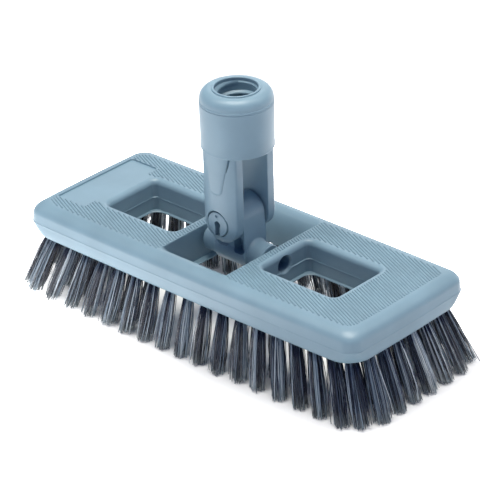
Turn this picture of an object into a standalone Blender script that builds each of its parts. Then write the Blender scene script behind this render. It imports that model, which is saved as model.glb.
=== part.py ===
"""A swivel scrubbing brush: a moulded block with two windows and tufted edges,
a tongue that tilts on an axle across the block's centre opening, and a threaded
handle socket whose fork swings on a pin through that tongue.

The model stands on its bristle tips at z = 0. X runs along the block, Z is up.
All lengths are in metres and all angles are in degrees.
"""

import math

import bmesh
import bpy
from mathutils import Vector

# Block: the rounded slab that carries the tufts
BLOCK_LENGTH = 0.220
BLOCK_WIDTH = 0.0870
BLOCK_HEIGHT = 0.018
SIDE_BOW = 0.0010
END_BOW = 0.0008
PARTING_HEIGHT = 0.008
PARTING_CORNER_RADIUS = 0.0071
FOOT_INSET = 0.0023
FOOT_ROUND_INSET = 0.0008
FOOT_ROUND_HEIGHT = 0.0015
FOOT_CORNER_RADIUS = 0.0160
BELLY_INSET = 0.0002
BELLY_HEIGHT = 0.0045
BELLY_CORNER_RADIUS = 0.0100
TOP_CORNER_RADIUS = 0.0054
SIDE_DRAFT = 0.0003
ROUND_OVER_WIDTH = 0.0076
ROUND_OVER_HEIGHT = 0.0058

# Openings through the block
CENTRE_OPENING_LENGTH = 0.0416
CENTRE_OPENING_WIDTH = 0.0720
CENTRE_OPENING_RADIUS = 0.0070
CENTRE_OPENING_FILLET = 0.0025
CROSSBAR_THICKNESS = 0.0082
WINDOW_LENGTH = 0.0475
WINDOW_WIDTH = 0.0352
WINDOW_RADIUS = 0.0050
WINDOW_FILLET = 0.0035
OPENING_DRAFT = 0.0002
OPENING_EDGE_ROUND = 0.0003

# Recessed label panel at one end of the top, left bare
PANEL_LENGTH = 0.0190
PANEL_WIDTH = 0.0550
PANEL_RADIUS = 0.0020
PANEL_DEPTH = 0.0006
PANEL_END_MARGIN = 0.0072

# Bristles: clumps of filaments, drawn as strands on thin slices of the block
BRISTLE_TRIM = 0.031
ROW_INSET = 0.0056
ROW_CORNER_RADIUS = 0.0125
ROW_GAP = 0.0120
LONG_ROW_MARGIN = 0.0164
LONG_ROW_PITCH = 0.0117
END_ROW_PITCH = 0.0102
INNER_ROW_MARGIN = 0.0070
STRIP_WIDTH = 0.0038
STRIP_THICKNESS = 0.0020
STRIP_END = 0.0021
STRAND_ROOT_RADIUS = 0.0007
STRAND_TIP_RADIUS = 0.0013
TUFT_ROOT_SPREAD = 0.0013
TUFT_TIP_SPREAD = 0.0032
STRAND_SINK = 0.0008
END_SPLAY = 0.0144
SIDE_SPLAY = 0.0092
SPLAY_POWER = 1.3

# Axle across the centre opening, and the tongue that tilts on it
AXLE_RADIUS = 0.0040
AXLE_HEIGHT = 0.0115
AXLE_GRIP = 0.0052
AXLE_CHAMFER = 0.0005
BORE_CHAMFER = 0.0006
HUB_RADIUS = 0.0076
HUB_END_GAP = 0.0010
HUB_FILLET = 0.0022
TONGUE_WIDTH = 0.0206
TONGUE_THICKNESS = 0.0176
TONGUE_RISE = 0.0197
CORE_POCKET_WIDTH = 0.0140
CORE_POCKET_TOP = 0.0080
CORE_POCKET_BOTTOM = 0.0050
CORE_POCKET_DEPTH = 0.0028

# Handle socket with its fork
SOCKET_RADIUS = 0.01835
SOCKET_TAPER = 0.0003
SOCKET_LENGTH = 0.0316
FORK_LENGTH = 0.0378
EAR_WIDTH = 0.0212
EAR_GAP = 0.0004
EAR_STEP = 0.0006
EAR_EDGE_ROUND = 0.0022
EAR_ROOT = 0.0010
BORE_RADIUS = 0.0103
BORE_DEPTH = 0.0265
MOUTH_CHAMFER = 0.0005
LIP_WIDTH = 0.0016
LIP_HEIGHT = 0.0006
CAP_ROUND = 0.0050
SEAM_STEP = 0.0003
SEAM_HEIGHT = 0.0007
THUMB_PAD_TOP_WIDTH = 0.0172
THUMB_PAD_BOTTOM_WIDTH = 0.0092
THUMB_PAD_LENGTH = 0.0220
THUMB_PAD_STEP = 0.0001
THUMB_PAD_ROOT = 0.0060
THUMB_PAD_RISE = 0.0016

# Pivot pin through the fork and the tongue
PIN_RADIUS = 0.0040
PIN_HEAD_RADIUS = 0.0068
PIN_HEAD_THICKNESS = 0.0032
PIN_HEAD_RECESS = 0.0012
PIN_TAIL_RECESS = 0.0008
PIN_CHAMFER = 0.0004
PIN_SLOT_WIDTH = 0.0038
PIN_SLOT_TOP = 0.0016
PIN_SLOT_DEPTH = 0.0018

# Fits between pieces, and how far a cutter runs past what it cuts
CLEARANCE = 0.0003
OVERRUN = 0.0030

# How finely curves are divided
CORNER_STEPS = 6
ROUND_OVER_STEPS = 5
FILLET_STEPS = 4
LONG_SIDE_STEPS = 8
END_SIDE_STEPS = 4
ROUND_STEPS = 48
HALF_ROUND_STEPS = 18
EAR_FACE_STEPS = 5
BORE_STEPS = 24
STRAND_SIDES = 4
STRANDS_AROUND_TUFT = 4

# Places worked out from the sizes
half_length = BLOCK_LENGTH / 2
half_width = BLOCK_WIDTH / 2
block_bottom = BRISTLE_TRIM
block_top = block_bottom + BLOCK_HEIGHT
axle_z = block_bottom + AXLE_HEIGHT
pin_z = axle_z + TONGUE_RISE
shoulder_z = pin_z + FORK_LENGTH
socket_top = shoulder_z + SOCKET_LENGTH
ear_radius = EAR_WIDTH / 2
ear_inner_y = TONGUE_THICKNESS / 2 + EAR_GAP
crossbar_inner_x = CENTRE_OPENING_LENGTH / 2
crossbar_outer_x = crossbar_inner_x + CROSSBAR_THICKNESS
strip_pocket_width = STRIP_WIDTH + 2 * CLEARANCE
strip_pocket_depth = STRIP_THICKNESS + CLEARANCE
AXIS_X, AXIS_Y, AXIS_Z = Vector((1, 0, 0)), Vector((0, 1, 0)), Vector((0, 0, 1))

for old in list(bpy.data.objects):
    bpy.data.objects.remove(old, do_unlink=True)


# Small helpers for meshes, cuts and materials
def make_material(name, colour, roughness):
    material = bpy.data.materials.new(name)
    material.use_nodes = True
    shader = material.node_tree.nodes["Principled BSDF"]
    shader.inputs["Base Color"].default_value = (*colour, 1)
    shader.inputs["Roughness"].default_value = roughness
    shader.inputs["Metallic"].default_value = 0
    return material


def new_object(name, mesh, material=None):
    thing = bpy.data.objects.new(name, mesh)
    bpy.context.scene.collection.objects.link(thing)
    if material:
        mesh.materials.append(material)
    return thing


def mesh_from(name, build):
    """Run build on an empty bmesh, turn its faces outward and return the mesh."""
    shape = bmesh.new()
    build(shape)
    bmesh.ops.recalc_face_normals(shape, faces=shape.faces)
    mesh = bpy.data.meshes.new(name)
    shape.to_mesh(mesh)
    shape.free()
    mesh.shade_smooth()
    mesh.set_sharp_from_angle(angle=math.radians(35))
    return mesh


def add_boolean(body, other, operation):
    other.display_type = "WIRE"
    other.hide_render = True
    step = body.modifiers.new(other.name, "BOOLEAN")
    step.operation = operation
    step.solver = "EXACT"
    step.object = other


def cut(body, cutter):
    add_boolean(body, cutter, "DIFFERENCE")


def fuse(body, other):
    add_boolean(body, other, "UNION")


def loft(shape, rings):
    """Join equal rings of points in order and close both ends."""
    loops = [[shape.verts.new(point) for point in ring] for ring in rings]
    count = len(loops[0])
    for lower, upper in zip(loops, loops[1:]):
        for i in range(count):
            j = (i + 1) % count
            shape.faces.new((lower[i], lower[j], upper[j], upper[i]))
    shape.faces.new(loops[0])
    shape.faces.new(loops[-1])


def loft_object(name, rings, material=None):
    return new_object(name, mesh_from(name, lambda shape: loft(shape, rings)), material)


def prism(name, outline, along, start, end, material=None):
    """Extrude an outline of (u, v) from start to end along one axis.
    The outline lies in XY, in XZ when it runs along Y, or in YZ when it runs along X."""

    def place(u, v, w):
        if along is AXIS_X:
            return Vector((w, u, v))
        if along is AXIS_Y:
            return Vector((u, w, v))
        return Vector((u, v, w))

    rings = [[place(u, v, w) for u, v in outline] for w in (start, end)]
    return loft_object(name, rings, material)


def turned(name, profile, along, centre, steps, material=None):
    """Revolve (radius, place) points about an axis; both end points lie on the axis.
    The facets start half a step round, so that they never meet a cutter's edge on."""

    def build(shape):
        side = AXIS_Z if along is not AXIS_Z else AXIS_X
        third = along.cross(side)
        poles = [centre + along * profile[0][1], centre + along * profile[-1][1]]
        rings = []
        for radius, place in profile[1:-1]:
            ring = []
            for i in range(steps):
                angle = 2 * math.pi * (i + 0.5) / steps
                spoke = side * math.cos(angle) + third * math.sin(angle)
                ring.append(shape.verts.new(centre + along * place + spoke * radius))
            rings.append(ring)
        for lower, upper in zip(rings, rings[1:]):
            for i in range(steps):
                j = (i + 1) % steps
                shape.faces.new((lower[i], lower[j], upper[j], upper[i]))
        for pole, ring in zip(poles, (rings[0], rings[-1])):
            tip = shape.verts.new(pole)
            for i in range(steps):
                shape.faces.new((tip, ring[i], ring[(i + 1) % steps]))

    return new_object(name, mesh_from(name, build), material)


def arc(centre_u, centre_v, radius, start, end, steps):
    points = []
    for i in range(steps + 1):
        angle = math.radians(start + (end - start) * i / steps)
        points.append((centre_u + radius * math.cos(angle), centre_v + radius * math.sin(angle)))
    return points


def rounded_rectangle(half_u, half_v, radius, steps=CORNER_STEPS):
    u, v = half_u - radius, half_v - radius
    points = []
    for centre_u, centre_v, start in ((u, v, 0), (-u, v, 90), (-u, -v, 180), (u, -v, 270)):
        points += arc(centre_u, centre_v, radius, start, start + 90, steps)
    return points


def side_bow(x):
    """How far the long edges bulge outward at x."""
    return SIDE_BOW * (1 - (x / half_length) ** 2)


def end_bow(y):
    """How far the end edges bulge outward at y."""
    return END_BOW * (1 - (y / half_width) ** 2)


def block_outline(inset, radius):
    """The block's outline seen from above, drawn in by inset all round."""
    half_u, half_v = half_length - inset, half_width - inset
    corners = rounded_rectangle(half_u, half_v, radius)
    xs = [(half_u - radius) * (1 - 2 * i / LONG_SIDE_STEPS) for i in range(1, LONG_SIDE_STEPS)]
    ys = [(half_v - radius) * (1 - 2 * i / END_SIDE_STEPS) for i in range(1, END_SIDE_STEPS)]
    sides = [[(x, half_v) for x in xs], [(-half_u, y) for y in ys]]
    sides += [[(-x, -half_v) for x in xs], [(half_u, -y) for y in ys]]
    points = []
    for i, side in enumerate(sides):
        first = i * (CORNER_STEPS + 1)
        points += corners[first : first + CORNER_STEPS + 1] + side
    return [(x + end_bow(y) * x / half_u, y + side_bow(x) * y / half_v) for x, y in points]


# Brush block
def block_profile():
    """(inset, height, corner radius) up the block's side: a rounded foot with wide
    corners, the parting line where the corners are sharpest, and the round-over."""
    profile = [(FOOT_INSET, 0, FOOT_CORNER_RADIUS)]
    profile += [(FOOT_ROUND_INSET, FOOT_ROUND_HEIGHT, FOOT_CORNER_RADIUS)]
    profile += [(BELLY_INSET, BELLY_HEIGHT, BELLY_CORNER_RADIUS)]
    profile += [(0, PARTING_HEIGHT, PARTING_CORNER_RADIUS)]
    shoulder_height = BLOCK_HEIGHT - ROUND_OVER_HEIGHT
    sharpening = PARTING_CORNER_RADIUS - TOP_CORNER_RADIUS
    for i in range(ROUND_OVER_STEPS + 1):
        angle = math.pi / 2 * i / ROUND_OVER_STEPS
        over = 1 - math.cos(angle)
        height = shoulder_height + ROUND_OVER_HEIGHT * math.sin(angle)
        radius = PARTING_CORNER_RADIUS - sharpening * over
        profile.append((SIDE_DRAFT + ROUND_OVER_WIDTH * over, height, radius))
    return profile


def opening_cutter(name, centre_x, half_u, half_v, radius, fillet):
    """A through hole, narrowest at the parting line, with its top edge rounded."""
    profile = [(OPENING_DRAFT + OPENING_EDGE_ROUND, -OVERRUN)]
    profile += [(OPENING_DRAFT + OPENING_EDGE_ROUND, 0), (OPENING_DRAFT, OPENING_EDGE_ROUND)]
    profile += [(0, PARTING_HEIGHT)]
    for i in range(FILLET_STEPS + 1):
        angle = math.pi / 2 * i / FILLET_STEPS
        grow = OPENING_DRAFT + fillet * (1 - math.cos(angle))
        profile.append((grow, BLOCK_HEIGHT - fillet + fillet * math.sin(angle)))
    profile.append((OPENING_DRAFT + fillet, BLOCK_HEIGHT + OVERRUN))
    rings = []
    for grow, height in profile:
        ring = rounded_rectangle(half_u + grow, half_v + grow, radius + grow)
        rings.append([(centre_x + x, y, block_bottom + height) for x, y in ring])
    return loft_object(name, rings)


def axle_bore_cutter(side):
    """One crossbar's axle bore, with a chamfer at both faces of the crossbar."""
    radius = AXLE_RADIUS + CLEARANCE
    inner, outer = crossbar_inner_x, crossbar_outer_x
    wide = radius + BORE_CHAMFER + OVERRUN
    profile = [(0, inner - OVERRUN), (wide, inner - OVERRUN), (radius, inner + BORE_CHAMFER)]
    profile += [(radius, outer - BORE_CHAMFER), (wide, outer + OVERRUN), (0, outer + OVERRUN)]
    centre = Vector((0, 0, axle_z))
    return turned(f"axle_bore_cutter_{side:+d}", profile, AXIS_X * side, centre, BORE_STEPS)


def panel_cutter():
    centre_x = PANEL_END_MARGIN + PANEL_LENGTH / 2 - half_length
    outline = rounded_rectangle(PANEL_LENGTH / 2, PANEL_WIDTH / 2, PANEL_RADIUS)
    outline = [(centre_x + x, y) for x, y in outline]
    return prism("panel_cutter", outline, AXIS_Z, block_top - PANEL_DEPTH, block_top + OVERRUN)


def make_block(material):
    rings = []
    for inset, height, radius in block_profile():
        outline = block_outline(inset, radius)
        rings.append([(x, y, block_bottom + height) for x, y in outline])
    block = loft_object("brush_block", rings, material)
    centre_half = (CENTRE_OPENING_LENGTH / 2, CENTRE_OPENING_WIDTH / 2)
    cut(block, opening_cutter("centre_opening_cutter", 0, *centre_half,
                              CENTRE_OPENING_RADIUS, CENTRE_OPENING_FILLET))
    window_x = crossbar_outer_x + WINDOW_LENGTH / 2
    for side in (-1, 1):
        cutter = opening_cutter(f"window_cutter_{side:+d}", side * window_x,
                                WINDOW_LENGTH / 2, WINDOW_WIDTH / 2, WINDOW_RADIUS, WINDOW_FILLET)
        cut(block, cutter)
        cut(block, axle_bore_cutter(side))
    cut(block, panel_cutter())
    return block


# Bristle rows: each is a thin slice of the block with its strands
def long_row_y(x):
    return half_width - ROW_INSET + side_bow(x)


def evenly(half_span, pitch):
    """Places from -half_span to half_span, as near the pitch as whole gaps allow."""
    gaps = max(1, round(2 * half_span / pitch))
    return [half_span * (2 * i / gaps - 1) for i in range(gaps + 1)]


def row_places():
    """Each row's name and its tufts' places, in order along the row. The outer rows
    keep ROW_INSET from the widest outline, and a tuft stands in each corner's bend."""
    turn_x = half_length - ROW_INSET - ROW_CORNER_RADIUS
    turn_y = half_width - ROW_INSET - ROW_CORNER_RADIUS
    bend = ROW_CORNER_RADIUS * math.sqrt(0.5)
    corner_x, corner_y = turn_x + bend, turn_y + bend
    long_xs = evenly(half_length - LONG_ROW_MARGIN, LONG_ROW_PITCH)
    end_ys = evenly(turn_y, END_ROW_PITCH)
    end_x = half_length - ROW_INSET
    inner_from = crossbar_outer_x + STRIP_END
    inner_to = end_x - ROW_GAP - INNER_ROW_MARGIN
    rows = {}
    for word, side in (("front", -1), ("back", 1)):
        rows[f"{word}_bristle_row"] = [(x, side * long_row_y(x)) for x in long_xs]
        inner = [x for x in long_xs if inner_from < x < inner_to]
        for end_word, end in (("left", -1), ("right", 1)):
            places = [(end * x, side * (long_row_y(x) - ROW_GAP)) for x in inner]
            rows[f"{word}_{end_word}_inner_row"] = places
    for word, side in (("left", -1), ("right", 1)):
        column = [(side * end_x, y) for y in end_ys]
        rows[f"{word}_end_row"] = [
            (side * corner_x, -corner_y), *column, (side * corner_x, corner_y)]
        rows[f"{word}_end_inner_row"] = [(side * (end_x - ROW_GAP), y) for y in end_ys]
    return rows


def strip_outline(places, width, end):
    """A band of the given width along the tufts, running past the last ones by end."""
    path = [Vector(place) for place in places]
    first, last = (path[0] - path[1]).normalized(), (path[-1] - path[-2]).normalized()
    path[0] = path[0] + first * end
    path[-1] = path[-1] + last * end
    left, right = [], []
    for i, point in enumerate(path):
        ahead = path[min(i + 1, len(path) - 1)] - path[max(i - 1, 0)]
        normal = Vector((-ahead.y, ahead.x)).normalized() * width / 2
        left.append(point + normal)
        right.append(point - normal)
    return [tuple(point) for point in left + right[::-1]]


def splay(x, y):
    """How far a tuft's tip leans out from its root."""
    share_x, share_y = abs(x) / half_length, abs(y) / half_width
    lean_x = math.copysign(END_SPLAY * share_x**SPLAY_POWER, x)
    lean_y = math.copysign(SIDE_SPLAY * share_y**SPLAY_POWER, y)
    return Vector((lean_x, lean_y, 0))


def add_strand(shape, root, tip, turn):
    """One tapering strand of STRAND_SIDES sides, its tip cut flat at z = 0."""
    rings = []
    for place, radius in ((root, STRAND_ROOT_RADIUS), (tip, STRAND_TIP_RADIUS)):
        ring = []
        for i in range(STRAND_SIDES):
            angle = turn + 2 * math.pi * i / STRAND_SIDES
            spoke = Vector((math.cos(angle), math.sin(angle), 0)) * radius
            ring.append(place + spoke)
        rings.append(ring)
    loft(shape, rings)


def tuft_strands(shape, x, y):
    """A middle strand and a ring of strands round it, all fanning out to the tip."""
    root_z = block_bottom + STRAND_SINK
    lean = splay(x, y)
    spokes = [Vector((0, 0, 0))]
    for i in range(STRANDS_AROUND_TUFT):
        angle = 2 * math.pi * (i + 0.5) / STRANDS_AROUND_TUFT
        spokes.append(Vector((math.cos(angle), math.sin(angle), 0)))
    for spoke in spokes:
        root = Vector((x, y, root_z)) + spoke * TUFT_ROOT_SPREAD
        tip = Vector((x, y, 0)) + lean + spoke * TUFT_TIP_SPREAD
        add_strand(shape, root, tip, 0)


def make_bristle_rows(block, bristle_material):
    for name, places in row_places().items():
        top = block_bottom + STRIP_THICKNESS
        outline = strip_outline(places, STRIP_WIDTH, STRIP_END)
        row = prism(name, outline, AXIS_Z, block_bottom, top, bristle_material)

        def strands(shape, places=places):
            for x, y in places:
                tuft_strands(shape, x, y)

        fuse(row, new_object(f"{name}_strands", mesh_from(f"{name}_strands", strands)))
        outline = strip_outline(places, strip_pocket_width, STRIP_END + CLEARANCE)
        pocket_top = block_bottom + strip_pocket_depth
        cut(block, prism(f"{name}_pocket", outline, AXIS_Z, block_bottom - OVERRUN, pocket_top))


# Axle
def make_axle(material):
    """The plain round axle; each end stops short inside its crossbar's bore."""
    reach = crossbar_inner_x + AXLE_GRIP
    neck = AXLE_RADIUS - AXLE_CHAMFER
    profile = [(0, -reach), (neck, -reach), (AXLE_RADIUS, AXLE_CHAMFER - reach)]
    profile += [(AXLE_RADIUS, reach - AXLE_CHAMFER), (neck, reach), (0, reach)]
    return turned("axle_pin", profile, AXIS_X, Vector((0, 0, axle_z)), BORE_STEPS, material)


# Swivel link: the tongue and the hub under it
def tongue_side_outline():
    """The tongue seen along Y: straight sides, and a round top about the pin."""
    half = TONGUE_WIDTH / 2
    foot = axle_z - TONGUE_THICKNESS / 2 - OVERRUN
    return [(half, foot)] + arc(0, pin_z, half, 0, 180, HALF_ROUND_STEPS) + [(-half, foot)]


def tongue_end_outline():
    """The tongue seen along X: straight sides, and a round foot about the axle."""
    half = TONGUE_THICKNESS / 2
    head = pin_z + TONGUE_WIDTH / 2 + OVERRUN
    return [(-half, head)] + arc(0, axle_z, half, 180, 360, HALF_ROUND_STEPS) + [(half, head)]


def hub_profile():
    reach = crossbar_inner_x - HUB_END_GAP
    root = TONGUE_WIDTH / 2
    half = [(HUB_RADIUS, reach - AXLE_CHAMFER)]
    for i in range(FILLET_STEPS + 1):
        angle = math.pi / 2 * i / FILLET_STEPS
        place = root + HUB_FILLET * (1 - math.sin(angle))
        grow = min(HUB_FILLET, TONGUE_THICKNESS / 2 - HUB_RADIUS) * (1 - math.cos(angle))
        half.append((HUB_RADIUS + grow, place))
    rim = (HUB_RADIUS - AXLE_CHAMFER, reach)
    outer = [rim] + half
    return ([(0, -reach)] + [(r, -p) for r, p in outer]
            + [(r, p) for r, p in reversed(outer)] + [(0, reach)])


def core_pocket(side):
    """The hollow moulded into the tongue's foot, on the given face."""
    half = CORE_POCKET_WIDTH / 2
    low, high = axle_z - CORE_POCKET_BOTTOM, axle_z + CORE_POCKET_TOP
    outline = [(-half, low), (half, low), (half, high), (-half, high)]
    face = TONGUE_THICKNESS / 2
    depths = sorted((side * (face - CORE_POCKET_DEPTH), side * (face + OVERRUN)))
    return prism(f"core_pocket_{side:+d}", outline, AXIS_Y, *depths)


def make_link(material):
    half_thickness = TONGUE_THICKNESS / 2
    link = prism("swivel_link", tongue_side_outline(), AXIS_Y, -half_thickness,
                 half_thickness, material)
    wide = TONGUE_WIDTH / 2 + OVERRUN
    foot = prism("tongue_foot_shape", tongue_end_outline(), AXIS_X, -wide, wide)
    add_boolean(link, foot, "INTERSECT")
    axle_centre = Vector((0, 0, axle_z))
    fuse(link, turned("hub_shape", hub_profile(), AXIS_X, axle_centre, ROUND_STEPS))
    bore = AXLE_RADIUS + CLEARANCE
    reach = crossbar_inner_x + OVERRUN
    profile = [(0, -reach), (bore, -reach), (bore, reach), (0, reach)]
    cut(link, turned("hub_bore_cutter", profile, AXIS_X, axle_centre, BORE_STEPS))
    cut(link, pin_bore_cutter("tongue_bore_cutter", half_thickness + EAR_GAP / 2))
    for side in (-1, 1):
        cut(link, core_pocket(side))
    return link


def pin_bore_cutter(name, reach):
    bore = PIN_RADIUS + CLEARANCE
    profile = [(0, -reach), (bore, -reach), (bore, reach), (0, reach)]
    return turned(name, profile, AXIS_Y, Vector((0, 0, pin_z)), BORE_STEPS)


# Pivot pin
def make_pin(material):
    """A headed pin: the slotted head lies in the front ear, the tail in the back one."""
    front = PIN_HEAD_RECESS - SOCKET_RADIUS
    under = front + PIN_HEAD_THICKNESS
    tail = SOCKET_RADIUS - PIN_TAIL_RECESS
    profile = [(0, front), (PIN_HEAD_RADIUS - PIN_CHAMFER, front)]
    profile += [(PIN_HEAD_RADIUS, front + PIN_CHAMFER), (PIN_HEAD_RADIUS, under)]
    profile += [(PIN_RADIUS, under), (PIN_RADIUS, tail - PIN_CHAMFER)]
    profile += [(PIN_RADIUS - PIN_CHAMFER, tail), (0, tail)]
    centre = Vector((0, 0, pin_z))
    pin = turned("pivot_pin", profile, AXIS_Y, centre, ROUND_STEPS, material)
    half = PIN_SLOT_WIDTH / 2
    foot = pin_z - PIN_HEAD_RADIUS - OVERRUN
    round_top = arc(0, pin_z + PIN_SLOT_TOP - half, half, 0, 180, CORNER_STEPS)
    outline = [(half, foot)] + round_top + [(-half, foot)]
    slot = prism("pin_slot_cutter", outline, AXIS_Y, front - OVERRUN, front + PIN_SLOT_DEPTH)
    cut(pin, slot)
    return pin


# Handle socket and fork
def socket_profile():
    """(radius, height) from the bore's floor up, over the lip and down the outside."""
    floor = socket_top - BORE_DEPTH
    lip = BORE_RADIUS + MOUTH_CHAMFER + LIP_WIDTH
    cap = socket_top - LIP_HEIGHT
    brim = SOCKET_RADIUS + SOCKET_TAPER
    round_radius = brim - SEAM_STEP - CAP_ROUND
    profile = [(0, floor), (BORE_RADIUS, floor), (BORE_RADIUS, socket_top - MOUTH_CHAMFER)]
    profile += [(BORE_RADIUS + MOUTH_CHAMFER, socket_top), (lip, socket_top), (lip, cap)]
    profile += arc(round_radius, cap - CAP_ROUND, CAP_ROUND, 90, 0, ROUND_OVER_STEPS)
    seam = cap - CAP_ROUND
    profile += [(brim - SEAM_STEP, seam - SEAM_HEIGHT)]
    profile += [(brim, seam - SEAM_HEIGHT - SEAM_STEP)]
    return profile + [(SOCKET_RADIUS, shoulder_z), (0, shoulder_z)]


def ear_profile():
    """Half of an ear seen from above, as (distance from the middle, y): the round
    outside, its rounded edge, and the flat edge that runs in to the inner face."""
    outer = SOCKET_RADIUS - EAR_STEP
    x = ear_radius - EAR_EDGE_ROUND
    y = math.sqrt((outer - EAR_EDGE_ROUND) ** 2 - x**2)
    turn = math.degrees(math.atan2(y, x))
    profile = arc(0, 0, outer, 90, turn, EAR_FACE_STEPS)
    profile += arc(x, y, EAR_EDGE_ROUND, turn, 0, FILLET_STEPS)[1:]
    return profile + [(ear_radius, ear_inner_y)]


def make_ear(side):
    """One ear of the fork. Its lower end is its profile spun half a turn about the
    pin, and from there its two halves run straight up into the socket."""
    top = shoulder_z + EAR_ROOT
    profile = ear_profile()

    def build(shape):
        def vertex(x, y, z):
            return shape.verts.new((x, side * y, z))

        crown = vertex(0, profile[0][1], pin_z)
        spun = []
        for i in range(HALF_ROUND_STEPS + 1):
            angle = math.pi * i / HALF_ROUND_STEPS
            across, down = math.cos(angle), math.sin(angle)
            spun.append([vertex(r * across, y, pin_z - r * down) for r, y in profile[1:]])
        for here, there in zip(spun, spun[1:]):
            shape.faces.new((crown, here[0], there[0]))
            for a, b, c, d in zip(here, there, here[1:], there[1:]):
                shape.faces.new((a, b, d, c))
        right, left = spun[0], spun[-1]
        low = [*reversed(right), crown, *left]
        high = [vertex(v.co.x, side * v.co.y, top) for v in low]
        for a, b, c, d in zip(low, low[1:], high, high[1:]):
            shape.faces.new((a, b, d, c))
        shape.faces.new(high)
        shape.faces.new([row[-1] for row in spun] + [high[-1], high[0]])

    return new_object(f"ear_shape_{side:+d}", mesh_from(f"ear_shape_{side:+d}", build))


def make_thumb_pad(side):
    """A shield on the outside of one ear, curved as the barrel is and a hair inside
    its surface, so that the barrel's wall seems to run on down the ear."""
    face = SOCKET_RADIUS - THUMB_PAD_STEP
    top, low = shoulder_z + THUMB_PAD_RISE, shoulder_z - THUMB_PAD_LENGTH
    half_top, half_low = THUMB_PAD_TOP_WIDTH / 2, THUMB_PAD_BOTTOM_WIDTH / 2
    outline = [(-half_low, low), (half_low, low), (half_top, top), (-half_top, top)]
    reach = sorted((side * (face - THUMB_PAD_ROOT), side * (face + OVERRUN)))
    pad = prism(f"thumb_pad_shape_{side:+d}", outline, AXIS_Y, *reach)
    profile = [(0, low - OVERRUN), (face, low - OVERRUN), (face, top + OVERRUN), (0, top + OVERRUN)]
    round_face = turned(f"thumb_pad_face_{side:+d}", profile, AXIS_Z, Vector(), ROUND_STEPS)
    add_boolean(pad, round_face, "INTERSECT")
    return pad


def make_socket(material):
    centre = Vector((0, 0, 0))
    socket = turned("handle_socket", socket_profile(), AXIS_Z, centre, ROUND_STEPS, material)
    wide = SOCKET_RADIUS + OVERRUN
    for side in (-1, 1):
        fuse(socket, make_ear(side))
        fuse(socket, make_thumb_pad(side))
    cut(socket, pin_bore_cutter("ear_bore_cutter", wide))
    under = SOCKET_RADIUS - PIN_HEAD_RECESS - PIN_HEAD_THICKNESS - CLEARANCE
    hole = PIN_HEAD_RADIUS + CLEARANCE
    profile = [(0, under), (hole, under), (hole, wide), (0, wide)]
    pin_centre = Vector((0, 0, pin_z))
    cut(socket, turned("pin_head_cutter", profile, -AXIS_Y, pin_centre, ROUND_STEPS))
    return socket


# Joints: the link tilts on the axle, and the socket swings on the pivot pin
def joint_empty(name, place, parent=None):
    empty = bpy.data.objects.new(name, None)
    bpy.context.scene.collection.objects.link(empty)
    empty.parent = parent
    empty.location = place
    return empty


def hang(thing, empty, place):
    """Parent thing to the joint's empty without moving it."""
    thing.parent = empty
    thing.location = -place


plastic = make_material("blue_grey_plastic", (0.25, 0.40, 0.50), 0.42)
bristle_plastic = make_material("dark_bristle", (0.035, 0.045, 0.065), 0.38)
block = make_block(plastic)
make_bristle_rows(block, bristle_plastic)
axle = make_axle(plastic)
link = make_link(plastic)
pin = make_pin(plastic)
socket = make_socket(plastic)

axle_place, pin_place = Vector((0, 0, axle_z)), Vector((0, 0, pin_z))
tilt = joint_empty("link_tilt_axis", axle_place)
swing = joint_empty("socket_swing_axis", pin_place - axle_place, tilt)
hang(link, tilt, axle_place)
hang(socket, swing, pin_place)
hang(pin, swing, pin_place)
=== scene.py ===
# %% [markdown]
# # A swivel scrubbing brush, made piece by piece
# The frame holds the brush's solids and its two joints. This script dresses them: it
# makes each moulding, pin and tuft again with finer shapes, gives each its finish, and
# hangs it on the body that moves it. All lengths are in metres, and the brush stands on
# its bristle tips at z = 0.

# %% Load the frame
import math

import bmesh
import bpy
import numpy as np
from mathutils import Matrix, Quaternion, Vector


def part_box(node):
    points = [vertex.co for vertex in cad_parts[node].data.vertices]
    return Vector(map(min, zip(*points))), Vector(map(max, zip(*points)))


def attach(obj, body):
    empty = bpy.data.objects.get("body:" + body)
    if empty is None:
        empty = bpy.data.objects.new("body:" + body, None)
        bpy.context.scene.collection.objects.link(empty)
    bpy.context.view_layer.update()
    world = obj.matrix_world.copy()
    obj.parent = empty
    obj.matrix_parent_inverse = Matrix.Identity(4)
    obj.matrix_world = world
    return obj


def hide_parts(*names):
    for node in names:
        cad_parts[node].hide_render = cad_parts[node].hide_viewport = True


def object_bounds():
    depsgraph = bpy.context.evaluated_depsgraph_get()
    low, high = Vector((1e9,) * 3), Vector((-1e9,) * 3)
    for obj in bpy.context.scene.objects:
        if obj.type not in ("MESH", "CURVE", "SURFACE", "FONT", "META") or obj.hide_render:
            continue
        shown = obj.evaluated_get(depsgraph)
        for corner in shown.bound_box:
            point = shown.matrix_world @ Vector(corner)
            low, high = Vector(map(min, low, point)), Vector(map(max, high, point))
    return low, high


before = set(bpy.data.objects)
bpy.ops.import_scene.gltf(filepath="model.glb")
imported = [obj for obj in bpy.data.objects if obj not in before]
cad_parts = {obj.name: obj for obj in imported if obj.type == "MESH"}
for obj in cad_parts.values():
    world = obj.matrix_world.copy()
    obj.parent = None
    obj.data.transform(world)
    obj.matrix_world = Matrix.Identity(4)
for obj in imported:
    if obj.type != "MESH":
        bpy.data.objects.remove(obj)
cad_low, cad_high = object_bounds()
scene = bpy.context.scene

# %% [markdown]
# ## Places that the frame gives
# Each new piece sits where its solid sits, so the places come from the solids' boxes:
# the block's top and bottom, the axle's height, the pin's height, the socket's rim.

# %% Read the places
MM = 0.001
block_low, block_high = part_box("brush_block")
axle_low, axle_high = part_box("axle_pin")
pin_low, pin_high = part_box("pivot_pin")
link_low, link_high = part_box("swivel_link")
socket_low, socket_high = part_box("handle_socket")

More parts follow.
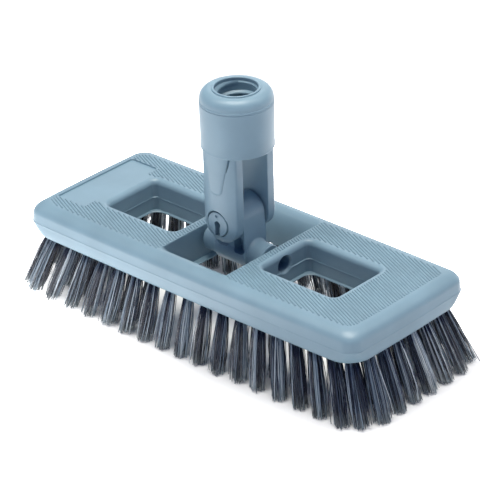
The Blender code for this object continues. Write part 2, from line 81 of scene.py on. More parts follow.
block_bottom, block_top = block_low.z, block_high.z
block_height = block_top - block_bottom
axle_z = (axle_low.z + axle_high.z) / 2
pin_z = (pin_low.z + pin_high.z) / 2
socket_top = socket_high.z
X_AXIS, Y_AXIS, Z_AXIS = Vector((1, 0, 0)), Vector((0, 1, 0)), Vector((0, 0, 1))
for word, z in (("block", block_bottom), ("axle", axle_z), ("pin", pin_z), ("rim", socket_top)):
    print(f"{word} at z = {z / MM:.2f} mm")

# %% [markdown]
# ## The camera
# A product shot like this is taken with a long lens from well above, so that the long
# edges stay nearly parallel. The camera stands 1.43 m away, and it is rolled a little.
# Aiming it with a constraint would be easier, but a fixed rotation can hold the roll too.

# %% Place the camera
VIEW_AZIMUTH, VIEW_ELEVATION, VIEW_ROLL = 42.93, 28.42, -1.72
VIEW_DISTANCE = 1.4279
VIEW_TARGET = Vector((0.00264, 0.00363, 0.0400))
LENS_MM = 203.9


def direction(azimuth, elevation):
    """From the brush towards a place on the sky: azimuth 0 is in front, 90 at the right."""
    a, e = math.radians(azimuth), math.radians(elevation)
    return Vector((math.sin(a) * math.cos(e), -math.cos(a) * math.cos(e), math.sin(e)))


back = direction(VIEW_AZIMUTH, VIEW_ELEVATION)
camera_data = bpy.data.cameras.new("camera")
camera_data.lens = LENS_MM
camera_data.sensor_width = 36
camera_data.clip_start, camera_data.clip_end = 0.05, 20
camera = bpy.data.objects.new("camera", camera_data)
scene.collection.objects.link(camera)
camera.location = VIEW_TARGET + back * VIEW_DISTANCE
camera.rotation_mode = "QUATERNION"
roll = Quaternion(Z_AXIS, math.radians(VIEW_ROLL))
camera.rotation_quaternion = (-back).to_track_quat("-Z", "Y") @ roll
scene.camera = camera

# %% [markdown]
# ## The floor
# The brush stands on a white light table, as in a catalogue picture. The table glows
# beside the brush but not under it, and hardly at all on the side that is kept dark.
# Far off it glows evenly, so that it stays pale from every side. The floor's finish
# works the glow out from the place on the table. Lamps under the table could do the
# same, but it would take dozens of them.

# %% Make the floor's finish
FLOOR_SIZE = 8.0
FLOOR_WHITE = (0.90, 0.90, 0.90, 1)
GLOW, FAR_GLOW = 2.2, 0.75
FOOTPRINT_SQUEEZE = (0.45, 1, 1)
DARK_SIDE, DARK_SHARE = 66, 0.05
scene.view_settings.view_transform = "Standard"
scene.view_settings.look = "None"


def node_input(material, name):
    return material.node_tree.nodes["Principled BSDF"].inputs[name]


floor_material = bpy.data.materials.new("floor_white")
floor_material.use_nodes = True
node_input(floor_material, "Base Color").default_value = FLOOR_WHITE
node_input(floor_material, "Roughness").default_value = 0.9
node_input(floor_material, "Specular IOR Level").default_value = 0.1
node_input(floor_material, "Emission Color").default_value = (1, 1, 1, 1)
table = floor_material.node_tree


def table_vector(operation, source, value=None, result="Value"):
    """One step of vector arithmetic in the table's finish."""
    node = table.nodes.new("ShaderNodeVectorMath")
    node.operation = operation
    table.links.new(source, node.inputs[0])
    if value is not None:
        node.inputs[1].default_value = value
    return node.outputs[result]


def table_math(operation, first, second):
    node = table.nodes.new("ShaderNodeMath")
    node.operation = operation
    table.links.new(first, node.inputs[0])
    table.links.new(second, node.inputs[1])
    return node.outputs["Value"]


def table_fade(source, start, end, low, high):
    """A smooth step from low to high while the source goes from start to end."""
    node = table.nodes.new("ShaderNodeMapRange")
    node.interpolation_type = "SMOOTHSTEP"
    for word, value in (("From Min", start), ("From Max", end), ("To Min", low), ("To Max", high)):
        node.inputs[word].default_value = value
    table.links.new(source, node.inputs["Value"])
    return node.outputs["Result"]


place = table.nodes.new("ShaderNodeTexCoord").outputs["Object"]
squeezed = table_vector("MULTIPLY", place, FOOTPRINT_SQUEEZE, "Vector")
outward = table_vector("NORMALIZE", place, None, "Vector")
darkness = table_vector("DOT_PRODUCT", outward, direction(DARK_SIDE, 0))
distance = table_vector("LENGTH", place)
glow = table_fade(table_vector("LENGTH", squeezed), 0.046, 0.080, 0.02, GLOW)
glow = table_math("MULTIPLY", glow, table_fade(distance, 0.15, 0.30, 1, 0.05))
glow = table_math("MULTIPLY", glow, table_fade(darkness, 0.10, 0.80, 1, DARK_SHARE))
glow = table_math("ADD", glow, table_fade(distance, 0.30, 0.90, 0, FAR_GLOW))
table.links.new(glow, node_input(floor_material, "Emission Strength"))

# %% Lay the floor
floor_mesh = bpy.data.meshes.new("floor")
reach = FLOOR_SIZE / 2
floor_corners = [(-reach, -reach, 0), (reach, -reach, 0), (reach, reach, 0), (-reach, reach, 0)]
floor_mesh.from_pydata(floor_corners, [], [(0, 1, 2, 3)])
floor_mesh.materials.append(floor_material)
floor = bpy.data.objects.new("floor", floor_mesh)
scene.collection.objects.link(floor)
print("floor", FLOOR_SIZE, "m wide")

# %% [markdown]
# ## The room and the lights
# One big softbox hangs over the table, and weak ones stand round it to lift the sides.
# Low down the room is as pale as white walls, and higher up it is a dim blue, which
# gives the shadows their blue. An even white room would be simpler, but it would wash
# the shadows out. The side towards the camera is left the darkest.

# %% Paint the room
HORIZON_COLOUR = (0.48, 0.52, 0.60)
ROOM_COLOUR = (0.004, 0.016, 0.130)
WALL_LOW, WALL_HIGH = 0.04, 0.26
room = bpy.data.worlds.new("studio_room")
room.use_nodes = True
room_nodes, room_links = room.node_tree.nodes, room.node_tree.links
sky_place = room_nodes.new("ShaderNodeTexCoord")
height = room_nodes.new("ShaderNodeSeparateXYZ")
band = room_nodes.new("ShaderNodeValToRGB")
stops = zip(band.color_ramp.elements, (WALL_LOW, WALL_HIGH), (HORIZON_COLOUR, ROOM_COLOUR))
for stop, position, colour in stops:
    stop.position = position
    stop.color = (*colour, 1)
room_links.new(sky_place.outputs["Generated"], height.inputs["Vector"])
room_links.new(height.outputs["Z"], band.inputs["Fac"])
room_links.new(band.outputs["Color"], room_nodes["Background"].inputs["Color"])
scene.world = room

# %% Hang the softboxes
LIGHT_DISTANCE = 1.4
LIGHT_TARGET = Vector((0, 0, 0.05))


def softbox(name, azimuth, elevation, size, watts, colour=(1, 1, 1)):
    light_data = bpy.data.lights.new(name, "AREA")
    light_data.shape = "SQUARE"
    light_data.size = size
    light_data.energy = watts
    light_data.color = colour
    light = bpy.data.objects.new(name, light_data)
    scene.collection.objects.link(light)
    aim = direction(azimuth, elevation)
    light.location = LIGHT_TARGET + aim * LIGHT_DISTANCE
    light.rotation_mode = "QUATERNION"
    light.rotation_quaternion = (-aim).to_track_quat("-Z", "Y")


softbox("top_box", 0, 89, 0.9, 24, (1.0, 0.985, 0.91))
softbox("left_box", -45, 58, 0.7, 3.2)
softbox("back_left_box", -145, 25, 0.8, 2.4)
softbox("back_right_box", 140, 52, 0.8, 2.8)
softbox("low_back_box", 178, 11, 0.5, 1.4)
softbox("low_front_box", 35, 8, 0.6, 0.4, (0.15, 0.42, 1.0))

# %% [markdown]
# ## Helpers for mesh work
# Most pieces here are lofts: equal rings of points joined in order. A turned piece is a
# loft of circles. Openings are cut with Blender's exact Boolean, and the result replaces
# the mesh. Curves with a bevel could make some of the shapes, but rings of points give
# full say over every radius.

# %% Loft and turn shapes
def link_object(name, mesh, material=None):
    thing = bpy.data.objects.new(name, mesh)
    scene.collection.objects.link(thing)
    if material:
        mesh.materials.append(material)
    return thing


def finish_mesh(shape, name, sharp_angle=38):
    bmesh.ops.recalc_face_normals(shape, faces=shape.faces)
    mesh = bpy.data.meshes.new(name)
    shape.to_mesh(mesh)
    shape.free()
    mesh.shade_smooth()
    mesh.set_sharp_from_angle(angle=math.radians(sharp_angle))
    return mesh


def join_rings(shape, rings):
    """Walls between equal rings of vertices, each joined to the next."""
    for lower, upper in zip(rings, rings[1:]):
        for i in range(len(lower)):
            j = (i + 1) % len(lower)
            shape.faces.new((lower[i], lower[j], upper[j], upper[i]))


def close_ends(shape, rings):
    shape.faces.new(rings[0])
    shape.faces.new(rings[-1])


def loft(name, rings, material=None):
    """Join equal rings of points in order and close both ends."""
    shape = bmesh.new()
    loops = [[shape.verts.new(point) for point in ring] for ring in rings]
    join_rings(shape, loops)
    close_ends(shape, loops)
    return link_object(name, finish_mesh(shape, name), material)


def prism(name, outline, along, start, end, material=None):
    """An outline of (u, v) run from start to end along the X or the Y axis."""
    rings = []
    for w in (start, end):
        rings.append([(w, u, v) if along is X_AXIS else (u, w, v) for u, v in outline])
    return loft(name, rings, material)


def turned(name, profile, along, centre, steps, material=None):
    """Turn (radius, place) points about an axis; the first and last lie on the axis."""
    shape = bmesh.new()
    side = Z_AXIS if along is not Z_AXIS else X_AXIS
    third = along.cross(side)
    rings = []
    for radius, place in profile[1:-1]:
        ring = []
        for i in range(steps):
            angle = 2 * math.pi * (i + 0.5) / steps
            spoke = side * math.cos(angle) + third * math.sin(angle)
            ring.append(shape.verts.new(centre + along * place + spoke * radius))
        rings.append(ring)
    join_rings(shape, rings)
    for (_, place), ring in zip((profile[0], profile[-1]), (rings[0], rings[-1])):
        tip = shape.verts.new(centre + along * place)
        for i in range(steps):
            shape.faces.new((tip, ring[i], ring[(i + 1) % steps]))
    return link_object(name, finish_mesh(shape, name), material)

# %% Draw arcs and rounded rectangles
def arc(centre_u, centre_v, radius, start, end, steps):
    points = []
    for i in range(steps + 1):
        angle = math.radians(start + (end - start) * i / steps)
        points.append((centre_u + radius * math.cos(angle), centre_v + radius * math.sin(angle)))
    return points


def rounded_rectangle(half_u, half_v, radius, steps=14):
    u, v = half_u - radius, half_v - radius
    points = []
    for centre_u, centre_v, start in ((u, v, 0), (-u, v, 90), (-u, -v, 180), (u, -v, 270)):
        points += arc(centre_u, centre_v, radius, start, start + 90, steps)
    return points

# %% Cut, measure and hang pieces
def settle(thing, sharp_angle=38):
    """Apply the piece's modifiers to its mesh."""
    depsgraph = bpy.context.evaluated_depsgraph_get()
    mesh = bpy.data.meshes.new_from_object(thing.evaluated_get(depsgraph))
    thing.modifiers.clear()
    old = thing.data
    thing.data = mesh
    mesh.name = old.name
    bpy.data.meshes.remove(old)
    mesh.shade_smooth()
    mesh.set_sharp_from_angle(angle=math.radians(sharp_angle))


def combine(thing, others, operation):
    """Cut, fuse or intersect the piece with other shapes, which are then removed."""
    for other in others:
        step = thing.modifiers.new(other.name, "BOOLEAN")
        step.operation = operation
        step.solver = "EXACT"
        step.object = other
    settle(thing)
    for other in others:
        mesh = other.data
        bpy.data.objects.remove(other)
        bpy.data.meshes.remove(mesh)


def report(thing):
    low = [min(v.co[i] for v in thing.data.vertices) / MM for i in range(3)]
    high = [max(v.co[i] for v in thing.data.vertices) / MM for i in range(3)]
    size = " x ".join(f"{b - a:.1f}" for a, b in zip(low, high))
    print(f"{thing.name}: {len(thing.data.polygons)} faces, {size} mm")


def hang(thing, body, slot, *nodes):
    """Let a body carry the piece, and let it stand for its solids. The slot is not used."""
    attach(thing, body)
    if nodes:
        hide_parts(*nodes)
    report(thing)

# %% [markdown]
# ## The moulded plastic
# Polypropylene coloured right through: a soft blue grey with a satin skin. A mould never
# leaves it quite even, so the colour drifts a little over centimetres, the gloss drifts
# too, and a very fine spark-eroded grain breaks the highlights. Painted textures could
# show this as well, but noise in the piece's own coordinates has no seams.

# %% Make the plastic
PLASTIC_COLOUR = (0.225, 0.345, 0.415)


def add_node(tree, kind, **inputs):
    node = tree.nodes.new(kind)
    for name, value in inputs.items():
        node.inputs[name.replace("_", " ")].default_value = value
    return node


def noise_texture(tree, scale, detail, roughness=0.5):
    """A noise in the piece's own coordinates, with features of about 1/scale metres."""
    place = tree.nodes.new("ShaderNodeTexCoord")
    noise = add_node(tree, "ShaderNodeTexNoise", Scale=scale, Detail=detail, Roughness=roughness)
    tree.links.new(place.outputs["Object"], noise.inputs["Vector"])
    return noise


def ramp(tree, source, low, high):
    """Spread a 0 to 1 value between two colours."""
    node = tree.nodes.new("ShaderNodeValToRGB")
    node.color_ramp.elements[0].color = (*low, 1)
    node.color_ramp.elements[1].color = (*high, 1)
    node.color_ramp.elements[0].position = 0.30
    node.color_ramp.elements[1].position = 0.70
    tree.links.new(source, node.inputs["Fac"])
    return node


def map_range(tree, source, low, high):
    node = tree.nodes.new("ShaderNodeMapRange")
    node.inputs["To Min"].default_value = low
    node.inputs["To Max"].default_value = high
    tree.links.new(source, node.inputs["Value"])
    return node


def make_plastic(name, colour, gloss=(0.31, 0.41), grain=0.05):
    material = bpy.data.materials.new(name)
    material.use_nodes = True
    tree = material.node_tree
    shader = tree.nodes["Principled BSDF"]
    drift = noise_texture(tree, 45, 4)
    darker = tuple(c * 0.93 for c in colour)
    lighter = tuple(c * 1.05 for c in colour)
    tint = ramp(tree, drift.outputs["Fac"], darker, lighter)
    tree.links.new(tint.outputs["Color"], shader.inputs["Base Color"])
    haze = noise_texture(tree, 160, 5)
    rough = map_range(tree, haze.outputs["Fac"], *gloss)
    tree.links.new(rough.outputs["Result"], shader.inputs["Roughness"])
    skin = noise_texture(tree, 2600, 3, 0.6)
    bump = add_node(tree, "ShaderNodeBump", Strength=grain, Distance=0.0002)
    tree.links.new(skin.outputs["Fac"], bump.inputs["Height"])
    tree.links.new(bump.outputs["Normal"], shader.inputs["Normal"])
    shader.inputs["IOR"].default_value = 1.49
    return material


plastic = make_plastic("satin_blue_grey", PLASTIC_COLOUR)
print("plastic made")

# %% [markdown]
# ## The block
# The block is one thick moulding: bowed long sides, a foot with a little draft up to the
# parting line at mid height, and a broad round-over to a flat top. It is lofted from
# closed outlines, each drawn in by its inset at its height. A rounded box with a Bevel
# would be quicker, but its sides would be straight and its corners all alike. A smooth
# loft needs many points at the corners and few on the flat sides.

# %% Loft the block's body
HALF_LENGTH, HALF_WIDTH = 0.1100, 0.0435
SIDE_BOW, END_BOW = 0.0010, 0.0008
PARTING_HEIGHT = 0.008
SIDE_STEPS, END_STEPS = 28, 12


def side_bow(x):
    """How far the long edges bulge outward at x."""
    return SIDE_BOW * (1 - (x / HALF_LENGTH) ** 2)


def end_bow(y):
    """How far the end edges bulge outward at y."""
    return END_BOW * (1 - (y / HALF_WIDTH) ** 2)


def block_outline(inset, radius, steps=18):
    half_u, half_v = HALF_LENGTH - inset, HALF_WIDTH - inset
    corners = rounded_rectangle(half_u, half_v, radius, steps)
    xs = [(half_u - radius) * (1 - 2 * i / SIDE_STEPS) for i in range(1, SIDE_STEPS)]
    ys = [(half_v - radius) * (1 - 2 * i / END_STEPS) for i in range(1, END_STEPS)]
    sides = [[(x, half_v) for x in xs], [(-half_u, y) for y in ys]]
    sides += [[(-x, -half_v) for x in xs], [(half_u, -y) for y in ys]]
    points = []
    for i, side in enumerate(sides):
        points += corners[i * (steps + 1) : (i + 1) * (steps + 1)] + side
    return [(x + end_bow(y) * x / half_u, y + side_bow(x) * y / half_v) for x, y in points]


ROUND_OVER_WIDTH, ROUND_OVER_HEIGHT = 0.0076, 0.0058
WITNESS = 0.00008
FOOT_CORNER, PARTING_CORNER, TOP_CORNER = 0.0125, 0.0071, 0.0054


def smooth_curve(keys, steps):
    """Points on a smooth curve through the keys (Catmull-Rom), for any number of values."""
    keys = [np.array(key) for key in keys]
    keys = [2 * keys[0] - keys[1], *keys, 2 * keys[-1] - keys[-2]]
    points = []
    for a, b, c, d in zip(keys, keys[1:], keys[2:], keys[3:]):
        for i in range(steps):
            t = i / steps
            bend = (2 * a - 5 * b + 4 * c - d) * t**2 + (3 * b - a - 3 * c + d) * t**3
            points.append(tuple((2 * b + (c - a) * t + bend) / 2))
    return points + [tuple(keys[-2])]


def block_profile():
    """(inset, height, corner radius): rounded foot, witness line, round-over."""
    foot = [(0.0023, 0, FOOT_CORNER), (0.0008, 0.0015, FOOT_CORNER), (0.0002, 0.0045, 0.0100)]
    near = 0.00035
    foot += [(0.00004, PARTING_HEIGHT - near, PARTING_CORNER)]
    profile = smooth_curve(foot, 4)
    profile += [(-WITNESS, PARTING_HEIGHT - near / 3, PARTING_CORNER)]
    profile += [(-WITNESS, PARTING_HEIGHT + near / 3, PARTING_CORNER)]
    profile += [(0.00012, PARTING_HEIGHT + near, PARTING_CORNER)]
    shoulder = block_height - ROUND_OVER_HEIGHT
    for i in range(13):
        angle = math.pi / 2 * i / 12
        over = 1 - math.cos(angle)
        height = shoulder + ROUND_OVER_HEIGHT * math.sin(angle)
        radius = PARTING_CORNER + (TOP_CORNER - PARTING_CORNER) * over
        profile.append((0.0003 + ROUND_OVER_WIDTH * over, height, radius))
    return profile


block_rings = []
for inset, height, radius in block_profile():
    block_rings.append([(x, y, block_bottom + height) for x, y in block_outline(inset, radius)])
block = loft("moulded_block", block_rings, plastic)
report(block)

# %% [markdown]
# ## The openings, the bores and the bare panel
# Two windows, the long centre opening for the swivel, and a bore through each crossbar
# for the axle. The windows have a lip at the foot and a broad round-over. The centre
# opening has sharp edges, and its front and back walls are ramps that leave room for the
# tilting socket. The shallow panel at the left end is where such a brush carries a name:
# it stays bare here. Each opening is a solid of its own that one Boolean takes away,
# since a loft round so many openings would be hard to follow.

# %% Shape the windows
OVERRUN = 0.004
WINDOW_INNER, WINDOW_OUTER, WINDOW_HALF = 0.0294, 0.0770, 0.0176
WINDOW_CORNER, LIP_CORNER, WINDOW_LIP = 0.0030, 0.0055, 0.0016
WINDOW_FILLET, INNER_FILLET = 0.0032, 0.0024


def box_ring(x_low, x_high, half_v, radius, z):
    """A rounded rectangle at one height, from x_low to x_high."""
    middle, half_u = (x_low + x_high) / 2, (x_high - x_low) / 2
    return [(middle + x, y, z) for x, y in rounded_rectangle(half_u, half_v, radius)]


def window_walls():
    """(drawn in at the crossbar, drawn in elsewhere, corner, height) up to the round-over."""
    near, line = 0.0004, 0.0003
    return [(WINDOW_LIP, 0.0008, LIP_CORNER, -OVERRUN), (WINDOW_LIP, 0.0008, LIP_CORNER, 0.0004),
            (WINDOW_LIP - 0.0003, 0.0005, LIP_CORNER, 0.0007),
            (0.0004, 0.0001, WINDOW_CORNER, 0.0011),
            (0.0001, 0, WINDOW_CORNER, PARTING_HEIGHT - near),
            (0.0001 + line, line, WINDOW_CORNER, PARTING_HEIGHT - near / 2),
            (0.0001 + line, line, WINDOW_CORNER, PARTING_HEIGHT),
            (0, 0, WINDOW_CORNER, PARTING_HEIGHT + near)]


def window_cutter(side):
    rings = []
    for inner, rest, corner, height in window_walls():
        low, high = WINDOW_INNER + inner, WINDOW_OUTER - rest
        rings.append((low, high, WINDOW_HALF - rest, corner, height))
    for i in range(11):
        angle = math.pi / 2 * i / 10
        grow = 1 - math.cos(angle)
        low, high = WINDOW_INNER - INNER_FILLET * grow, WINDOW_OUTER + WINDOW_FILLET * grow
        height = block_height - WINDOW_FILLET + WINDOW_FILLET * math.sin(angle)
        corner = WINDOW_CORNER + WINDOW_FILLET * grow
        rings.append((low, high, WINDOW_HALF + WINDOW_FILLET * grow, corner, height))
    rings.append((*rings[-1][:4], block_height + OVERRUN))
    loops = [box_ring(*ring[:4], block_bottom + ring[4]) for ring in rings]
    return loft(f"window_{side}", [[(side * x, y, z) for x, y, z in loop] for loop in loops])

# %% Shape the centre opening
CROSSBAR_FACE = 0.0208
CENTRE_TOP, CENTRE_FOOT, CENTRE_CORNER = 0.0224, 0.0180, 0.0020
RAMP_FOOT, RAMP_CREST = 0.0284, 0.0374


def ramp_place(height):
    """How far out the ramp is at a height: steep at the top, nearly flat at its foot."""
    bend = 1 - math.sqrt(max(0, 1 - (height / (block_height + 0.0001)) ** 2))
    return RAMP_FOOT + (RAMP_CREST - RAMP_FOOT) * bend


def centre_cutter():
    """Sharp at the top, with a lip at each crossbar's foot."""
    edge, low, high = 0.0003, 0.0013, block_height - 0.0016
    rings = [(CENTRE_FOOT, RAMP_FOOT, -OVERRUN), (CENTRE_FOOT, RAMP_FOOT, 0.0006),
             (CENTRE_FOOT + 0.0004, RAMP_FOOT + 0.0001, 0.0009)]
    for i in range(15):
        share = i / 14
        height = low + (high - low) * math.sin(math.pi / 2 * share)
        half_u = CROSSBAR_FACE + (CENTRE_TOP - edge - CROSSBAR_FACE) * height / block_height
        rings.append((half_u, ramp_place(height), height))
    last_u, last_height = rings[-1][0], rings[-1][2]
    for share in (0.35, 0.65, 0.85):
        height = last_height + (block_height - last_height) * share
        rings.append((last_u + edge * share**2, ramp_place(height), height))
    rings.append((CENTRE_TOP, RAMP_CREST, block_height + 0.0001))
    rings.append((CENTRE_TOP + 0.0004, RAMP_CREST + 0.0004, block_height + OVERRUN))
    loops = [box_ring(-u, u, v, CENTRE_CORNER, block_bottom + height) for u, v, height in rings]
    return loft("centre_opening", loops)

# %% Shape the bores and the panel
AXLE_BORE, BORE_MOUTH = 0.0043, 0.0009
PANEL_LOW, PANEL_HIGH, PANEL_DEPTH = (-0.1029, -0.0277), (-0.0838, 0.0276), 0.0009
PANEL_CORNERS = (0.0028, 0.0022, 0.0008, 0.0030)


def crossbar_bore(side):
    inner, outer, wide = CROSSBAR_FACE, WINDOW_INNER, AXLE_BORE + BORE_MOUTH
    profile = [(0, inner - 0.003), (wide, inner - 0.003), (AXLE_BORE, inner + 0.0006)]
    profile += [(AXLE_BORE + 0.0001, outer - 0.0012), (AXLE_BORE + 0.0002, outer - 0.0007)]
    profile += [(wide, outer + 0.0001), (wide, outer + 0.003), (0, outer + 0.003)]
    return turned(f"bore_{side}", profile, X_AXIS * side, Vector((0, 0, axle_z)), 56)


def panel_outline(grow):
    """The panel's outline, with a radius for each corner from the far right one on."""
    low_x, low_y = (value - grow for value in PANEL_LOW)
    high_x, high_y = (value + grow for value in PANEL_HIGH)
    corners = ((high_x, high_y), (low_x, high_y), (low_x, low_y), (high_x, low_y))
    inward = ((-1, -1), (1, -1), (1, 1), (-1, 1))
    points = []
    for i, ((x, y), (step_x, step_y)) in enumerate(zip(corners, inward)):
        radius = PANEL_CORNERS[i] + grow
        start = 90 * i
        points += arc(x + step_x * radius, y + step_y * radius, radius, start, start + 90, 10)
    return points


panel_rings = []
panel_steps = ((-0.0002, -PANEL_DEPTH), (0, 0.0002 - PANEL_DEPTH),
               (0.0001, 0.0001), (0.0001, OVERRUN))
for grow, depth in panel_steps:
    panel_rings.append([(x, y, block_top + depth) for x, y in panel_outline(grow)])

# %% Cut the openings
cutters = [centre_cutter(), window_cutter(-1), window_cutter(1)]
cutters += [crossbar_bore(-1), crossbar_bore(1), loft("panel", panel_rings)]
combine(block, cutters, "DIFFERENCE")
report(block)

# %% [markdown]
# ## Where the tufts stand
# A row of tufts runs all round the foot, and a second row inside it at both ends and
# beside the windows. The rows are spaced evenly between the corners, with one more tuft
# in each corner. The places could be typed in one by one, but worked out once they serve
# both the holes and the tufts.

# %% Work out the rows
ROW_INSET, ROW_GAP, ROW_CORNER = 0.0056, 0.0120, 0.0125
LONG_MARGIN = 0.0164
LONG_PITCH, END_PITCH = 0.0117, 0.0102
INNER_FROM, INNER_TO = 0.0311, HALF_LENGTH - ROW_INSET - ROW_GAP - 0.0070


def evenly(half_span, pitch):
    gaps = round(2 * half_span / pitch)
    return [half_span * (2 * i / gaps - 1) for i in range(gaps + 1)]


def long_row_y(x):
    return HALF_WIDTH - ROW_INSET + side_bow(x)


def row_places():
    """Each row's name and the places of its tufts, named as the frame's nodes are."""
    turn_x, turn_y = (half - ROW_INSET - ROW_CORNER for half in (HALF_LENGTH, HALF_WIDTH))
    bend = ROW_CORNER * math.sqrt(0.5)
    corner_x, corner_y = turn_x + bend, turn_y + bend
    long_xs = evenly(HALF_LENGTH - LONG_MARGIN, LONG_PITCH)
    end_ys = evenly(turn_y, END_PITCH)
    end_x = HALF_LENGTH - ROW_INSET
    rows = {}
    for word, side in (("front", -1), ("back", 1)):
        rows[f"{word}_bristle_row"] = [(x, side * long_row_y(x)) for x in long_xs]
        for end_word, end in (("left", -1), ("right", 1)):
            inner = [x for x in long_xs if INNER_FROM < x < INNER_TO]
            places = [(end * x, side * (long_row_y(x) - ROW_GAP)) for x in inner]
            rows[f"{word}_{end_word}_inner_row"] = places
    for word, side in (("left", -1), ("right", 1)):
        column = [(side * end_x, y) for y in end_ys]
        ends = [(side * corner_x, -corner_y), (side * corner_x, corner_y)]
        rows[f"{word}_end_row"] = [ends[0], *column, ends[1]]
        rows[f"{word}_end_inner_row"] = [(side * (end_x - ROW_GAP), y) for y in end_ys]
    return rows


rows = row_places()
print(sum(len(places) for places in rows.values()), "tufts in", len(rows), "rows")

# %% [markdown]
# ## The tuft holes
# Each tuft is folded over a staple and driven into a blind hole in the block's foot. The
# holes are drilled along the tuft's lean, so the filaments leave the hole straight.
# All 82 drills are one mesh, so that one Boolean cuts all the holes.

# %% Drill the holes
HOLE_RADIUS, HOLE_DEPTH, HOLE_SIDES = 0.0027, 0.0050, 20
END_SPLAY, SIDE_SPLAY, SPLAY_POWER = 0.0144, 0.0092, 1.3


def splay(x, y):
    """How far a tuft's tip leans out from its root."""
    share_x, share_y = abs(x) / HALF_LENGTH, abs(y) / HALF_WIDTH
    lean_x = math.copysign(END_SPLAY * share_x**SPLAY_POWER, x)
    lean_y = math.copysign(SIDE_SPLAY * share_y**SPLAY_POWER, y)
    return Vector((lean_x, lean_y, 0))


drills = bmesh.new()
for places in rows.values():
    for x, y in places:
        rings = []
        for height, radius in ((-0.003, HOLE_RADIUS), (HOLE_DEPTH, HOLE_RADIUS)):
            centre = Vector((x, y, block_bottom + height))
            ring = []
            for i in range(HOLE_SIDES):
                angle = 2 * math.pi * i / HOLE_SIDES
                spoke = Vector((math.cos(angle), math.sin(angle), 0)) * radius
                ring.append(drills.verts.new(centre + spoke))
            rings.append(ring)
        join_rings(drills, rings)
        close_ends(drills, rings)
combine(block, [link_object("drills", finish_mesh(drills, "drills"))], "DIFFERENCE")
weighted = block.modifiers.new("flat_faces_stay_flat", "WEIGHTED_NORMAL")
weighted.keep_sharp = True
hang(block, "block", "blue_grey_plastic", "brush_block")

# %% [markdown]
# ## The grip ribs
# The flat top is finely ribbed at a slant, but for the panel and a strip beside it, so
# that a wet hand or shoe doesn't slip. A bump texture would vanish from the mesh, so
# each rib is a real strip with a round back. Its ends are found by walking along the
# rib's line and asking at each step if the place is still on the plain part of the top.
# The ribs' skin is duller than the rest, as it is in a mould that is polished only where it
# is flat. Its colour is a little darker too: painted shade, which deepens the ribs' light and
# dark.

# %% Find where the ribs may run
RIB_PITCH, RIB_ANGLE, RIB_CLEAR = 0.00160, -24.4, 0.0004
RIB_HALF, RIB_HEIGHT, RIB_SINK = 0.00052, 0.00058, 0.00015
RIB_STEP, RIB_TAPER, RIB_SHORTEST = 0.0002, 0.0004, 0.0012
PLATEAU_INSET = 0.0076
window_top = (WINDOW_OUTER - WINDOW_INNER + WINDOW_FILLET + INNER_FILLET) / 2
window_middle = (WINDOW_OUTER + WINDOW_INNER + WINDOW_FILLET - INNER_FILLET) / 2
panel_middle = (PANEL_LOW[0] + PANEL_HIGH[0]) / 2
panel_half = (PANEL_HIGH[0] - PANEL_LOW[0]) / 2
SMOOTH_STRIP = (-0.0818, 0, 0.0030, 0.0190, 0.0010)
NO_RIBS = [(0, 0, CENTRE_TOP, RAMP_CREST, CENTRE_CORNER), SMOOTH_STRIP,
           (panel_middle, 0, panel_half, PANEL_HIGH[1], 0.0010)]
for side in (-1, 1):
    NO_RIBS.append((side * window_middle, 0, window_top, WINDOW_HALF + WINDOW_FILLET, 0.0062))


def outside_box(x, y, half_u, half_v, radius):
    """Distance outside a rounded rectangle, negative inside it."""
    dx, dy = abs(x) - half_u + radius, abs(y) - half_v + radius
    beyond = math.hypot(max(dx, 0), max(dy, 0))
    return beyond + min(max(dx, dy), 0) - radius


def on_ribbed_top(x, y):
    half_u = HALF_LENGTH - PLATEAU_INSET + end_bow(y)
    half_v = HALF_WIDTH - PLATEAU_INSET + side_bow(x)
    if outside_box(x, y, half_u, half_v, TOP_CORNER) > 0:
        return False
    for centre_x, centre_y, half_u, half_v, radius in NO_RIBS:
        if outside_box(x - centre_x, y - centre_y, half_u, half_v, radius) < RIB_CLEAR:
            return False
    return True


def rib_runs():
    """Start and end of every rib, as distances along and across the ribs' direction."""
    run_x, run_y = math.cos(math.radians(RIB_ANGLE)), math.sin(math.radians(RIB_ANGLE))
    reach = math.hypot(HALF_LENGTH, HALF_WIDTH)
    lines = int(reach / RIB_PITCH)
    runs = []
    for line in range(-lines, lines + 1):
        across = line * RIB_PITCH
        start = None
        steps = int(2 * reach / RIB_STEP)
        for i in range(steps + 1):
            along = -reach + i * RIB_STEP
            x, y = along * run_x - across * run_y, along * run_y + across * run_x
            inside = on_ribbed_top(x, y)
            if inside and start is None:
                start = along
            if not inside and start is not None:
                if along - start > RIB_SHORTEST:
                    runs.append((start, along - RIB_STEP, across))
                start = None
    return runs


runs = rib_runs()
print(len(runs), "ribs")

# %% Lay the ribs
RIB_SECTION = [(-1, -1), (-0.84, 0.12), (-0.30, 0.84), (0, 1), (0.30, 0.84), (0.84, 0.12), (1, -1)]


def rib_ring(shape, along, across, rise):
    run = Vector((math.cos(math.radians(RIB_ANGLE)), math.sin(math.radians(RIB_ANGLE)), 0))
    side = Vector((-run.y, run.x, 0))
    ring = []
    for u, v in RIB_SECTION:
        height = v * RIB_HEIGHT * rise if v > 0 else -RIB_SINK
        place = run * along + side * (across + u * RIB_HALF)
        ring.append(shape.verts.new(place + Z_AXIS * (block_top + height)))
    return ring


